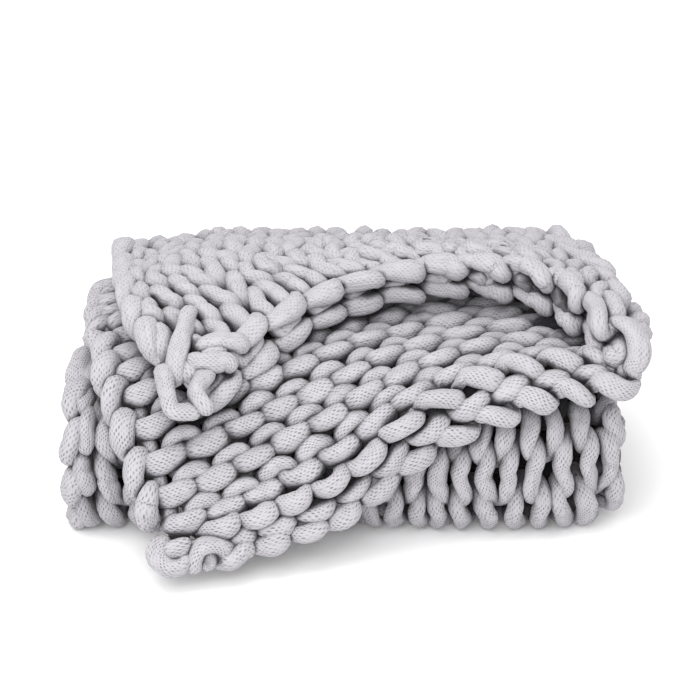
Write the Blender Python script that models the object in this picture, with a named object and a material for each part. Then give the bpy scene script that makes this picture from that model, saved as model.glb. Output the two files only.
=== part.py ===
"""A chunky knit throw, folded in half across its width and then in three along its length.

One piece of cloth makes the whole part. Its cross-section is a hairpin: an outer ply, a fold at the
right, and an inner ply. That hairpin zigzags: the lowest panel comes forward along the ground, turns
up at the front, goes back, turns up again at the back, and comes forward as the top panel. There the
two plies part: the outer ply slides forward as a flap whose left corner reaches the ground, and the
inner ply stays on top, its own left corner drooping over the flap and its edge arched into a mouth.

Metres, +Z up, the front faces -Y. The flat underside lies at z = 0.
"""

import bmesh
import bpy
import numpy as np

# Driving dimensions
CLOTH_THICK = 0.034         # a knit of 20 mm yarn, pressed by its own weight
LAYER_PITCH = 0.041         # from one layer's middle to the next, so layers lie 7 mm apart
LEFT_EDGE_X = -0.312        # middle of the selvedge in the lower panels
RIGHT_FOLD_X = 0.272       # where the fold at the right begins in the lower panels
FRONT_TURN_Y = 0.0755       # centre line of the turn at the front
BACK_TURN_Y = 0.305         # centre line of the turn at the back
START_Y = 0.360             # the hidden end of the lowest panel
CORNER_EASE = 0.014         # how far the front turn draws back at its two ends
CORNER_SPAN = 0.40          # part of the half width over which it does so
FOOT_SQUARE = 4.0           # the front turn's superellipse power below its middle
SHOULDER_SQUARE = (2.6, 3.4)    # and above it, left and right
BACK_SQUARE = 2.3           # the power of the outside turn at the back
ROUND = 2.0                 # the power of the tight turns: a circle
TOP_LOFT = 0.012            # how much higher than a pressed layer the top one lies
FOLD_BULGE = 0.026          # the most that the fold at the right stands out past the plies

HALF = CLOTH_THICK / 2

# Stations across a ply, from the left selvedge (0) to the fold at the right (1)
STATIONS = (0.0, 0.2, 0.4, 0.6, 0.8, 1.0)

# Guide lines of the flap, back to front, one (x, y, z) for each station
FLAP_GUIDES = {
    "behind the middle": ((-0.283, 0.138, 0.188), (-0.174, 0.137, 0.189), (-0.065, 0.135, 0.190),
                          (0.043, 0.135, 0.190), (0.150, 0.135, 0.190), (0.258, 0.138, 0.188)),
    "over the front edge": ((-0.243, 0.034, 0.171), (-0.135, 0.034, 0.177), (-0.031, 0.033, 0.181),
                            (0.078, 0.032, 0.184), (0.182, 0.036, 0.185), (0.277, 0.050, 0.183)),
    "down the front": ((-0.206, -0.050, 0.101), (-0.108, -0.036, 0.113), (-0.013, -0.023, 0.127),
                       (0.084, -0.009, 0.155), (0.185, 0.009, 0.172), (0.285, 0.024, 0.178)),
    "bound edge": ((-0.160, -0.117, 0.014), (-0.076, -0.074, 0.032), (0.006, -0.036, 0.063),
                   (0.091, -0.011, 0.123), (0.188, 0.001, 0.160), (0.288, 0.008, 0.174)),
}
# Guide lines of the top layer, back to front
TOP_GUIDES = {
    "crown": ((-0.270, 0.220, 0.237), (-0.166, 0.220, 0.251), (-0.062, 0.220, 0.257),
              (0.043, 0.220, 0.257), (0.150, 0.220, 0.252), (0.262, 0.220, 0.239)),
    "behind the mouth": ((-0.259, 0.154, 0.240), (-0.163, 0.168, 0.254), (-0.061, 0.184, 0.259),
                         (0.047, 0.200, 0.260), (0.160, 0.194, 0.257), (0.276, 0.145, 0.239)),
    "above the mouth": ((-0.224, 0.054, 0.223), (-0.121, 0.104, 0.242), (-0.020, 0.158, 0.254),
                        (0.091, 0.188, 0.261), (0.208, 0.165, 0.256), (0.284, 0.083, 0.236)),
    "bound edge": ((-0.170, -0.044, 0.177), (-0.080, 0.042, 0.221), (0.013, 0.125, 0.246),
                   (0.128, 0.169, 0.256), (0.232, 0.127, 0.251), (0.288, 0.030, 0.230)),
}

# The two plies: the layers each one fills from the ground up, how far its selvedge stands in or out
# at each of them, and where its selvedge and its fold lie at the back turn
PLIES = {
    "outer": {"layers": (1, 4, 5), "selvedge": (0.000, -0.004, 0.0), "back_x": (-0.297, 0.252),
              "guides": FLAP_GUIDES},
    "inner": {"layers": (2, 3, 6), "selvedge": (0.008, 0.004, 0.0), "back_x": (-0.276, 0.252),
              "guides": TOP_GUIDES},
}

# How many steps the mesh takes along each stretch of the zigzag, and across a ply and the fold
RUN_STEPS = {"lowest": 6, "front turn": 13, "middle": 7, "back turn": 12, "top": 16}
PLY_STEPS = 15
FOLD_STEPS = 7
FOLD_SMOOTHING = 4          # times that the fold's direction is averaged with its neighbours'


def layer_z(number):
    """Height of the middle of a layer, counted from 1 at the ground."""
    return HALF + (number - 1) * LAYER_PITCH


def smooth(t):
    """A smooth step from 0 to 1."""
    t = np.clip(t, 0.0, 1.0)
    return t * t * (3.0 - 2.0 * t)


def spline(knots, values, at):
    """A cubic through values at uneven knots, with Catmull-Rom slopes, read at the places given."""
    knots = np.asarray(knots, float)
    values = np.asarray(values, float)
    spare = (1,) * (values.ndim - 1)
    gaps = np.diff(knots)
    rates = np.diff(values, axis=0) / gaps.reshape(-1, *spare)
    slopes = np.empty_like(values)
    slopes[0], slopes[-1] = rates[0], rates[-1]
    lean = (gaps[1:] / (gaps[1:] + gaps[:-1])).reshape(-1, *spare)
    slopes[1:-1] = lean * rates[:-1] + (1.0 - lean) * rates[1:]
    at = np.clip(np.asarray(at, float), knots[0], knots[-1])
    span = np.clip(np.searchsorted(knots, at, side="right") - 1, 0, len(knots) - 2)
    width = gaps[span].reshape(-1, *spare)
    t = ((at - knots[span]) / gaps[span]).reshape(-1, *spare)
    return ((2 * t**3 - 3 * t**2 + 1) * values[span] + (t**3 - 2 * t**2 + t) * width * slopes[span]
            + (3 * t**2 - 2 * t**3) * values[span + 1] + (t**3 - t**2) * width * slopes[span + 1])


def turn(centre_y, low_z, high_z, powers, side, t):
    """Half a superellipse in Y-Z from low_z up to high_z, bulging forward (-1) or back (+1).

    It has one power below its middle and another above.
    """
    radius = (high_z - low_z) / 2
    angle = (t - 0.5) * np.pi
    power = np.where(angle < 0.0, *powers)
    reach = np.abs(np.cos(angle)) ** (2.0 / power)
    rise = np.sign(np.sin(angle)) * np.abs(np.sin(angle)) ** (2.0 / power)
    return centre_y + side * radius * reach, (high_z + low_z) / 2 + radius * rise


def column(ply, station):
    """The middle line of a ply at one station, from the hidden end to the bound edge."""
    lowest, middle, top = (layer_z(number) for number in ply["layers"])
    outer = ply["layers"][0] == 1
    straight_x = LEFT_EDGE_X + (RIGHT_FOLD_X - LEFT_EDGE_X) * station
    low_x, mid_x, _ = (straight_x + (1.0 - station) * inset for inset in ply["selvedge"])
    back_x = ply["back_x"][0] + (ply["back_x"][1] - ply["back_x"][0]) * station
    from_end = max(0.0, (abs(2.0 * station - 1.0) - 1.0 + CORNER_SPAN) / CORNER_SPAN)
    front_y = FRONT_TURN_Y + CORNER_EASE * from_end**2
    shoulder = SHOULDER_SQUARE[0] + (SHOULDER_SQUARE[1] - SHOULDER_SQUARE[0]) * smooth((station - 0.3) / 0.4)

    runs = []
    t = np.linspace(0.0, 1.0, RUN_STEPS["lowest"], endpoint=False)
    runs.append(np.stack([low_x + 0 * t, START_Y + (front_y - START_Y) * t, lowest + 0 * t], axis=1))
    t = np.linspace(0.0, 1.0, RUN_STEPS["front turn"], endpoint=False)
    y, z = turn(front_y, lowest, middle, (FOOT_SQUARE, shoulder) if outer else (ROUND, ROUND), -1.0, t)
    runs.append(np.stack([low_x + (mid_x - low_x) * smooth(t), y, z], axis=1))
    t = np.linspace(0.0, 1.0, RUN_STEPS["middle"], endpoint=False)
    y = front_y + (BACK_TURN_Y - front_y) * t
    runs.append(np.stack([mid_x + (back_x - mid_x) * smooth(t), y, middle + 0 * t], axis=1))
    if not outer:
        top += TOP_LOFT
    t = np.linspace(0.0, 1.0, RUN_STEPS["back turn"], endpoint=False)
    power = ROUND if outer else BACK_SQUARE
    y, z = turn(BACK_TURN_Y, middle, top, (power, power), 1.0, t)
    runs.append(np.stack([back_x + 0 * t, y, z], axis=1))

    guides = [spline(STATIONS, line, [station])[0] for line in ply["guides"].values()]
    lead_in = [(back_x, BACK_TURN_Y + LAYER_PITCH, top), (back_x, BACK_TURN_Y, top)]
    path = np.array(lead_in + guides)
    knots = np.concatenate([[0.0], np.cumsum(np.linalg.norm(np.diff(path, axis=0), axis=1))])
    runs.append(spline(knots, path, np.linspace(knots[1], knots[-1], RUN_STEPS["top"])))
    return np.vstack(runs)


def fold_columns(outer_edge, inner_edge):
    """The fold at the right: half rings that carry the outer ply's last column to the inner ply's.

    Returns their points and the way that each point faces, both as columns.
    """
    middle = (outer_edge + inner_edge) / 2
    across = (inner_edge - outer_edge) / 2
    along = np.gradient(middle, axis=0)
    for _ in range(FOLD_SMOOTHING):
        along[1:-1] = (along[:-2] + along[1:-1] + along[2:]) / 3
        along[-1] = along[-2]
    outward = np.cross(across, along)
    outward /= np.linalg.norm(outward, axis=1, keepdims=True)
    outward *= np.sign(outward[:, :1])
    reach = np.linalg.norm(across, axis=1, keepdims=True)
    radius = np.minimum(reach, FOLD_BULGE)
    points, facing = [], []
    for angle in np.pi * np.arange(1, FOLD_STEPS) / FOLD_STEPS:
        points.append(middle - across * np.cos(angle) + outward * radius * np.sin(angle))
        facing.append(outward * np.sin(angle) / radius - across * np.cos(angle) / reach**2)
    return points, facing


def cloth_middle():
    """Middle surface of the whole cloth, and the normals of its knit side.

    Both are grids: columns across the cloth's width, points along its length.
    """
    stations = np.linspace(0.0, 1.0, PLY_STEPS)
    outer = [column(PLIES["outer"], station) for station in stations]
    inner = [column(PLIES["inner"], station) for station in stations[::-1]]
    fold, facing = fold_columns(outer[-1], inner[0])
    middle = np.array(outer + fold + inner)
    normal = np.cross(np.gradient(middle, axis=0), np.gradient(middle, axis=1))
    normal[PLY_STEPS:PLY_STEPS + len(fold)] = facing
    return middle, normal / np.linalg.norm(normal, axis=2, keepdims=True)


def cloth_faces():
    """The two faces of the cloth, half its thickness to each side of the middle surface.

    They stand with the bottom centre of their box at the origin, and none of them goes below it.
    """
    middle, normal = cloth_middle()
    faces = np.array([middle + HALF * normal, middle - HALF * normal])
    box_centre = (faces.min(axis=(0, 1, 2)) + faces.max(axis=(0, 1, 2))) / 2
    faces[..., :2] -= box_centre[:2]
    faces[..., 2] = np.maximum(faces[..., 2], 0.0)
    return faces


def build_blanket():
    """The folded cloth as one closed solid."""
    knit_face, purl_face = cloth_faces()
    columns, rows = knit_face.shape[:2]
    bm = bmesh.new()
    number = bm.verts.layers.int.new("number")
    sheet = bmesh.ops.create_grid(bm, x_segments=columns - 1, y_segments=rows - 1, size=1.0)
    for index, vert in enumerate(sheet["verts"]):
        vert[number] = index
        vert.co = purl_face[index % columns, index // columns]
    raised = bmesh.ops.extrude_face_region(bm, geom=bm.faces[:], use_keep_orig=True)
    for vert in (item for item in raised["geom"] if isinstance(item, bmesh.types.BMVert)):
        index = vert[number]
        vert.co = knit_face[index % columns, index // columns]
    bm.verts.layers.int.remove(number)
    bmesh.ops.triangulate(bm, faces=bm.faces[:])
    bmesh.ops.recalc_face_normals(bm, faces=bm.faces[:])
    mesh = bpy.data.meshes.new("blanket")
    bm.to_mesh(mesh)
    bm.free()
    mesh.shade_smooth()
    mesh.set_sharp_from_angle(angle=np.radians(50.0))
    blanket = bpy.data.objects.new("blanket", mesh)
    bpy.context.scene.collection.objects.link(blanket)
    return blanket


def knit_material():
    """Soft light grey yarn."""
    material = bpy.data.materials.new("light_grey_knit")
    material.use_nodes = True
    shader = material.node_tree.nodes["Principled BSDF"]
    shader.inputs["Base Color"].default_value = (0.62, 0.61, 0.63, 1.0)
    shader.inputs["Roughness"].default_value = 0.92
    shader.inputs["Metallic"].default_value = 0.0
    return material


def main():
    for old in list(bpy.data.objects):
        bpy.data.objects.remove(old, do_unlink=True)
    blanket = build_blanket()
    blanket.data.materials.append(knit_material())


main()
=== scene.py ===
"""Looks of a chunky hand-knit throw, folded in half across its width and then in three.

The throw is knitted here stitch by stitch. FoldedCloth lays out the cloth's middle surface in the same
folds as the CAD part, ruled in wales and courses. Each course is then one thick yarn that loops along
that surface in stockinette, with its knit side out and its purl side in. Ropes of stitches close the
bound edge and the cast-on edge, and run down the selvedges, and short ties hold two corners.

Metres, +Z up, the front faces -Y. The cloth rests on z = 0.
"""

import logging
from collections.abc import Sequence
from dataclasses import dataclass, field

import bmesh
import bpy
import numpy as np
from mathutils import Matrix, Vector

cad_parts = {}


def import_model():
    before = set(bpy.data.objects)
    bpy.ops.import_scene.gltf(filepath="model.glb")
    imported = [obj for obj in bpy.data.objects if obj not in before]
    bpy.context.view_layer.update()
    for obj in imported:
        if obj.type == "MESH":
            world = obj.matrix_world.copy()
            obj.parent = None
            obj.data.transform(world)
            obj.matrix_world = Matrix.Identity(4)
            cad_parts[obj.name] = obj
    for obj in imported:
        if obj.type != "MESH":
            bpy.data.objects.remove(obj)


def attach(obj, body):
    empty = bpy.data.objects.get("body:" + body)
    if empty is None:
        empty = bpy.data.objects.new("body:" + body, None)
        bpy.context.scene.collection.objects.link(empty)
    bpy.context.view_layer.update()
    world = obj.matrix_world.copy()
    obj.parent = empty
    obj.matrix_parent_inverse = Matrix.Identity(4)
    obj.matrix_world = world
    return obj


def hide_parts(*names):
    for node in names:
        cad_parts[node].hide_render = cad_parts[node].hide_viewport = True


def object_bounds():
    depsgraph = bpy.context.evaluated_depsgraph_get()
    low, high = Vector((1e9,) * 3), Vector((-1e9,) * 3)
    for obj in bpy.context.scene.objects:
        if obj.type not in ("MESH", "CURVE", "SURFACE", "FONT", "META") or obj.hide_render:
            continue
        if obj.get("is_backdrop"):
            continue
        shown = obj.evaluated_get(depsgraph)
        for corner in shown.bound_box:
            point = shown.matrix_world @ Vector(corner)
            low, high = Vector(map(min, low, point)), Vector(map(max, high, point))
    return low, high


log = logging.getLogger("throw")

Array = np.ndarray
Point = tuple[float, float, float]


# ---------------------------------------------------------------- small tools

def smooth(t: Array | float) -> Array | float:
    """A smooth step from 0 to 1."""
    t = np.clip(t, 0.0, 1.0)
    return t * t * (3.0 - 2.0 * t)


def spline(knots: Sequence[float], values: Sequence, at: Sequence[float]) -> Array:
    """Read a cubic through values at uneven knots, with Catmull-Rom slopes.

    Args:
        knots: Rising places of the values.
        values: One number or point for each knot.
        at: Places to read.

    Returns:
        The curve's values at those places.
    """
    knots = np.asarray(knots, float)
    values = np.asarray(values, float)
    spare = (1,) * (values.ndim - 1)
    gaps = np.diff(knots)
    rates = np.diff(values, axis=0) / gaps.reshape(-1, *spare)
    slopes = np.empty_like(values)
    slopes[0], slopes[-1] = rates[0], rates[-1]
    lean = (gaps[1:] / (gaps[1:] + gaps[:-1])).reshape(-1, *spare)
    slopes[1:-1] = lean * rates[:-1] + (1.0 - lean) * rates[1:]
    at = np.clip(np.asarray(at, float), knots[0], knots[-1])
    span = np.clip(np.searchsorted(knots, at, side="right") - 1, 0, len(knots) - 2)
    width = gaps[span].reshape(-1, *spare)
    t = ((at - knots[span]) / gaps[span]).reshape(-1, *spare)
    return ((2 * t**3 - 3 * t**2 + 1) * values[span] + (t**3 - 2 * t**2 + t) * width * slopes[span]
            + (3 * t**2 - 2 * t**3) * values[span + 1] + (t**3 - t**2) * width * slopes[span + 1])


def lengths_along(points: Array) -> Array:
    """Running length along a line of points, from 0."""
    return np.concatenate([[0.0], np.cumsum(np.linalg.norm(np.diff(points, axis=0), axis=1))])


def unit(vectors: Array) -> Array:
    """The vectors at length 1."""
    return vectors / np.maximum(np.linalg.norm(vectors, axis=-1, keepdims=True), 1e-9)


def close_pairs(places: Array, others: Array, reach: float) -> tuple[Array, Array]:
    """Find which of the other places lie within reach of which places.

    Args:
        places: The places.
        others: The other places.
        reach: The farthest that counts.

    Returns:
        The number of the place and the number of the other place, for each pair.
    """
    low = np.minimum(places.min(axis=0), others.min(axis=0))
    mine = np.floor((places - low) / reach).astype(np.int64) + 1
    theirs = np.floor((others - low) / reach).astype(np.int64) + 1
    width = np.maximum(mine.max(axis=0), theirs.max(axis=0)) + 2
    stride = np.array([width[1] * width[2], width[2], 1])
    keys = theirs @ stride
    line = np.argsort(keys, kind="stable")
    ranked = keys[line]
    firsts, seconds = [], []
    for x, y in np.ndindex(3, 3):
        wanted = mine @ stride + np.array([x - 1, y - 1, 0]) @ stride
        start = np.searchsorted(ranked, wanted - 1, side="left")
        count = np.searchsorted(ranked, wanted + 1, side="right") - start
        first = np.repeat(np.arange(len(wanted)), count)
        offset = np.arange(len(first)) - np.repeat(np.cumsum(count) - count, count)
        second = line[np.repeat(start, count) + offset]
        near = ((places[first] - others[second])**2).sum(axis=1) < reach**2
        firsts.append(first[near])
        seconds.append(second[near])
    return np.concatenate(firsts), np.concatenate(seconds)


# ---------------------------------------------------------------- the folded cloth

@dataclass(frozen=True)
class Ply:
    """One of the two plies that the first fold makes.

    Attributes:
        layers: The layers that it fills, counted from 1 at the ground.
        selvedge: How far its selvedge stands in at each of them.
        back_x: Where its selvedge and its fold lie at the back turn.
        guides: Lines across its top run, back to front, each at six stations from the left.
    """

    layers: tuple[int, int, int]
    selvedge: tuple[float, float, float]
    back_x: tuple[float, float]
    guides: tuple[tuple[Point, ...], ...]


OUTER_PLY = Ply(
    layers=(1, 4, 5), selvedge=(0.000, -0.004, 0.0), back_x=(-0.297, 0.252),
    guides=(
        ((-0.283, 0.138, 0.188), (-0.174, 0.137, 0.189), (-0.065, 0.135, 0.190),
         (0.043, 0.135, 0.190), (0.150, 0.135, 0.190), (0.262, 0.138, 0.188)),
        ((-0.262, 0.034, 0.171), (-0.143, 0.034, 0.177), (-0.031, 0.033, 0.181),
         (0.078, 0.032, 0.184), (0.182, 0.036, 0.185), (0.287, 0.050, 0.183)),
        ((-0.234, -0.050, 0.101), (-0.120, -0.036, 0.113), (-0.013, -0.023, 0.127),
         (0.084, -0.009, 0.155), (0.185, 0.009, 0.172), (0.290, 0.024, 0.178)),
        ((-0.186, -0.117, 0.014), (-0.086, -0.074, 0.032), (0.006, -0.036, 0.063),
         (0.091, -0.011, 0.123), (0.188, 0.001, 0.160), (0.288, 0.008, 0.174)),
    ),
)
INNER_PLY = Ply(
    layers=(2, 3, 6), selvedge=(0.008, 0.004, 0.0), back_x=(-0.266, 0.252),
    guides=(
        ((-0.260, 0.220, 0.222), (-0.166, 0.220, 0.248), (-0.062, 0.220, 0.257),
         (0.043, 0.220, 0.257), (0.150, 0.220, 0.252), (0.272, 0.220, 0.243)),
        ((-0.251, 0.154, 0.232), (-0.163, 0.168, 0.253), (-0.061, 0.184, 0.259),
         (0.047, 0.200, 0.260), (0.162, 0.194, 0.257), (0.293, 0.145, 0.246)),
        ((-0.224, 0.054, 0.223), (-0.121, 0.104, 0.242), (-0.020, 0.158, 0.254),
         (0.091, 0.188, 0.261), (0.211, 0.165, 0.256), (0.297, 0.083, 0.241)),
        ((-0.170, -0.044, 0.177), (-0.080, 0.042, 0.221), (0.013, 0.125, 0.246),
         (0.128, 0.169, 0.256), (0.234, 0.127, 0.251), (0.289, 0.030, 0.231)),
    ),
)


@dataclass(frozen=True)
class Ripple:
    """Slow unevenness over the cloth, as a few waves that cross each other.

    Attributes:
        size: Its usual height.
        seed: Picks the waves.
        waves: How many there are.
        lengths: Shortest and longest wave, in stitches.
    """

    size: float
    seed: int
    waves: int = 7
    lengths: tuple[float, float] = (3.2, 8.0)

    def at(self, wales: Array, courses: Array) -> Array:
        """Its height at places given in wales and courses."""
        rng = np.random.default_rng(self.seed)
        total = 0.0
        for _ in range(self.waves):
            way, start = rng.uniform(0.0, 2 * np.pi, 2)
            pace = 2 * np.pi / rng.uniform(*self.lengths)
            total = total + np.sin(pace * (wales * np.cos(way) + courses * np.sin(way)) + start)
        return self.size * total * (2.0 / self.waves) ** 0.5


@dataclass
class FoldedCloth:
    """The middle surface of the folded cloth, ruled in wales across and courses along.

    The sizes are those of the CAD part. Wale 0 is the outer ply's selvedge, and the last wale is the
    inner ply's. Course 0 is the bound edge, and the last course is the hidden end under the stack.
    Lengths are in metres.

    Attributes:
        thickness: Of the cloth.
        layer_pitch: From one layer's middle to the next one's.
        left_edge_x, right_fold_x: Where the lower panels' selvedges and fold lie.
        front_turn_y, back_turn_y: The axes of the turns at the front and at the back.
        start_y: Where the hidden end lies.
        corner_ease: How far the front turn draws back at its two ends.
        corner_span: The part of the half width over which it does so.
        foot_square, shoulder_square: The front turn's superellipse power below its middle, and above
            it at the left and the right.
        back_square: The power of the outside turn at the back.
        round: The power of the tight turns.
        top_loft: How much higher than a pressed layer the top one lies.
        fold_bulge: The most that the fold at the right stands out past the plies.
        stations: Where the guides are given, 0 at the selvedge and 1 at the fold.
        run_steps: Steps along each of a column's five runs, from the hidden end.
        ply_wales, fold_wales: Wales in one ply, and in the fold between the plies.
        courses: From the bound edge to the hidden end.
        ruling: Lines for each wale and for each course.
        fold_smoothing, normal_smoothing: Rounds of smoothing of the fold's line and of the normals.
        flap_course: Height of a course on the flap, at its selvedge and at its fold.
        top_course: Height of a course on top.
        outer_marks, inner_marks, fold_marks: Course numbers where the lowest run ends and where the
            front turn ends, and how many courses the back turn takes, in the outer ply, in the inner
            ply and at the inner ply's fold.
        fold_share: Where across the inner ply its courses start to follow the fold's.
        flap_gather: How much the flap's wales are drawn together towards its fold.
        flap_lean: How far they are pulled over towards its selvedge, in wales.
        lean_wales, lean_courses: How far that pull rises and how far it fades, across and along.
        sideways, lengthways, bulges: The unevenness across and along, in stitches, and outward.
        points, normals: The ruled surface, and the way that its knit side faces.
    """

    thickness: float = 0.034
    layer_pitch: float = 0.041
    left_edge_x: float = -0.312
    right_fold_x: float = 0.272
    front_turn_y: float = 0.0755
    back_turn_y: float = 0.305
    start_y: float = 0.360
    corner_ease: float = 0.014
    corner_span: float = 0.40
    foot_square: float = 4.0
    shoulder_square: tuple[float, float] = (2.6, 3.4)
    back_square: float = 2.3
    round: float = 2.0
    top_loft: float = 0.012
    fold_bulge: float = 0.032
    stations: tuple[float, ...] = (0.0, 0.2, 0.4, 0.6, 0.8, 1.0)
    run_steps: tuple[int, ...] = (40, 80, 40, 60, 110)
    ply_wales: float = 10.9
    fold_wales: float = 1.2
    courses: float = 28.0
    ruling: int = 12
    fold_smoothing: int = 90
    normal_smoothing: int = 6
    flap_course: tuple[float, float] = (0.038, 0.0415)
    top_course: float = 0.046
    outer_marks: tuple[float, float, float] = (22.3, 17.8, 1.6)
    inner_marks: tuple[float, float, float] = (20.2, 18.4, 4.4)
    fold_marks: tuple[float, float, float] = (22.3, 17.8, 3.2)
    fold_share: float = 0.72
    flap_gather: float = 0.02
    flap_lean: float = 1.6
    lean_wales: tuple[float, float] = (7.0, 4.2)
    lean_courses: tuple[float, float] = (8.0, 4.0)
    sideways: Ripple = Ripple(0.07, 11)
    lengthways: Ripple = Ripple(0.09, 12)
    bulges: Ripple = Ripple(0.0018, 13)
    points: Array = field(init=False)
    normals: Array = field(init=False)

    @property
    def wales(self) -> float:
        """Wales from selvedge to selvedge."""
        return 2 * self.ply_wales + self.fold_wales

    def layer_z(self, number: int) -> float:
        """Height of the middle of a layer, counted from 1 at the ground."""
        return self.thickness / 2 + (number - 1) * self.layer_pitch

    @staticmethod
    def turn(centre_y: float, low_z: float, high_z: float, powers: tuple[float, float], side: float,
             t: Array) -> tuple[Array, Array]:
        """Half a superellipse in Y-Z.

        Args:
            centre_y: Where its axis lies.
            low_z: Where it starts.
            high_z: Where it ends.
            powers: Its power below its middle and above.
            side: -1 to bulge forward, +1 to bulge back.
            t: Places along it, 0 to 1.

        Returns:
            The Y and the Z of those places.
        """
        radius = (high_z - low_z) / 2
        angle = (t - 0.5) * np.pi
        power = np.where(angle < 0.0, *powers)
        reach = np.abs(np.cos(angle)) ** (2.0 / power)
        rise = np.sign(np.sin(angle)) * np.abs(np.sin(angle)) ** (2.0 / power)
        return centre_y + side * radius * reach, (high_z + low_z) / 2 + radius * rise

    def column(self, ply: Ply, station: float) -> Array:
        """The middle line of a ply at one station, from the hidden end to the bound edge."""
        lowest, middle, top = (self.layer_z(number) for number in ply.layers)
        outer = ply.layers[0] == 1
        straight_x = self.left_edge_x + (self.right_fold_x - self.left_edge_x) * station
        low_x, mid_x, _ = (straight_x + (1.0 - station) * inset for inset in ply.selvedge)
        back_x = ply.back_x[0] + (ply.back_x[1] - ply.back_x[0]) * station
        from_end = max(0.0, (abs(2.0 * station - 1.0) - 1.0 + self.corner_span) / self.corner_span)
        front_y = self.front_turn_y + self.corner_ease * from_end**2
        low, high = self.shoulder_square
        shoulder = low + (high - low) * smooth((station - 0.3) / 0.4)

        runs = []
        spans = [np.linspace(0.0, 1.0, steps, endpoint=False) for steps in self.run_steps[:4]]
        t = spans[0]
        runs.append(np.stack([low_x + 0 * t, self.start_y + (front_y - self.start_y) * t,
                              lowest + 0 * t], axis=1))
        t = spans[1]
        powers = (self.foot_square, shoulder) if outer else (self.round, self.round)
        y, z = self.turn(front_y, lowest, middle, powers, -1.0, t)
        runs.append(np.stack([low_x + (mid_x - low_x) * smooth(t), y, z], axis=1))
        t = spans[2]
        y = front_y + (self.back_turn_y - front_y) * t
        runs.append(np.stack([mid_x + (back_x - mid_x) * smooth(t), y, middle + 0 * t], axis=1))
        if not outer:
            top += self.top_loft * smooth(station / 0.3)
        t = spans[3]
        power = self.round if outer else self.back_square
        y, z = self.turn(self.back_turn_y, middle, top, (power, power), 1.0, t)
        runs.append(np.stack([back_x + 0 * t, y, z], axis=1))

        spread = station + self.flap_gather * (station - station**4) if outer else station
        guides = [spline(self.stations, line, [spread])[0] for line in ply.guides]
        lead_in = [(back_x, self.back_turn_y + self.layer_pitch, top), (back_x, self.back_turn_y, top)]
        path = np.array(lead_in + guides)
        knots = lengths_along(path)
        runs.append(spline(knots, path, np.linspace(knots[1], knots[-1], self.run_steps[4])))
        return np.vstack(runs)

    def fold_columns(self, outer_edge: Array, inner_edge: Array, count: int) -> list[Array]:
        """Half rings that carry the outer ply's last column round to the inner ply's first.

        Args:
            outer_edge: The outer ply's last column.
            inner_edge: The inner ply's first column.
            count: How many columns to put between them.

        Returns:
            Those columns, from the outer ply's to the inner ply's.
        """
        middle = (outer_edge + inner_edge) / 2
        across = (inner_edge - outer_edge) / 2
        along = np.gradient(middle, axis=0)
        for _ in range(self.fold_smoothing):
            along[1:-1] = (along[:-2] + along[1:-1] + along[2:]) / 3
            along[-1] = along[-2]
        outward = unit(np.cross(across, along))
        outward *= np.sign(outward[:, :1])
        radius = np.minimum(np.linalg.norm(across, axis=1, keepdims=True), self.fold_bulge)
        angles = np.pi * np.arange(1, count + 1) / (count + 1)
        return [middle - across * np.cos(a) + outward * radius * np.sin(a) for a in angles]

    def run_ends(self, marks: tuple[float, float, float], on_top: float) -> Array:
        """Course numbers at the ends of a column's runs, from the hidden end to the bound edge."""
        front, back, turn = marks
        return np.array([self.courses, front, back, on_top + turn, on_top, 0.0])

    def course_marks(self, column: Array, across: float, outer: bool) -> Array:
        """The course number at every point of a column.

        The courses are even along the visible runs, and what the columns differ in length is taken up
        in the hidden runs.

        Args:
            column: The column's points, from the hidden end.
            across: 0 at the ply's selvedge, 1 at its fold.
            outer: Whether it is in the outer ply.

        Returns:
            A number for each point, the last course's at the hidden end and 0 at the bound edge.
        """
        length = lengths_along(column)
        starts = np.concatenate([[0], np.cumsum(self.run_steps)])
        starts[-1] -= 1
        at = length[starts]
        top_run = at[5] - at[4]
        near, far = self.flap_course
        flap_course = near + (far - near) * across
        if outer:
            numbers = self.run_ends(self.outer_marks, top_run / flap_course)
        else:
            own = self.run_ends(self.inner_marks, top_run / self.top_course)
            fold = self.run_ends(self.fold_marks, top_run / flap_course)
            near_fold = smooth((across - self.fold_share) / (1.0 - self.fold_share))
            numbers = own + (fold - own) * near_fold
        return spline(at, numbers, length)

    def rule(self) -> None:
        """Work out the ruled surface: its points, and the normals of its knit side."""
        per_ply = round(self.ply_wales * self.ruling)
        per_fold = round(self.fold_wales * self.ruling)
        stations = np.linspace(0.0, 1.0, per_ply + 1)
        outer = [self.column(OUTER_PLY, s) for s in stations]
        inner = [self.column(INNER_PLY, s) for s in stations[::-1]]
        fold = self.fold_columns(outer[-1], inner[0], per_fold - 1)
        courses = np.arange(0, round(self.courses * self.ruling) + 1) / self.ruling
        ruled = []
        for number, column in enumerate(outer + fold + inner):
            in_fold = np.clip((number - per_ply) / per_fold, 0.0, 1.0)
            marks = self.course_marks(column, stations[min(number, per_ply)], True)
            if number > per_ply:
                back = number - per_ply - per_fold
                far = self.course_marks(column, stations[::-1][max(back, 0)], False)
                marks = marks + (far - marks) * in_fold
            marks = np.minimum.accumulate(marks)
            ruled.append(np.stack([np.interp(courses, marks[::-1], column[::-1, axis])
                                   for axis in range(3)], axis=1))
        self.points = np.array(ruled)
        self.points[1:-1] = (self.points[:-2] + 2 * self.points[1:-1] + self.points[2:]) / 4
        normals = np.cross(np.gradient(self.points, axis=1), np.gradient(self.points, axis=0))
        self.normals = unit(normals)
        for _ in range(self.normal_smoothing):
            self.normals[1:-1] = unit(self.normals[:-2] + 2 * self.normals[1:-1] + self.normals[2:])
            self.normals[:, 1:-1] = unit(self.normals[:, :-2] + 2 * self.normals[:, 1:-1]
                                         + self.normals[:, 2:])

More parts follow.
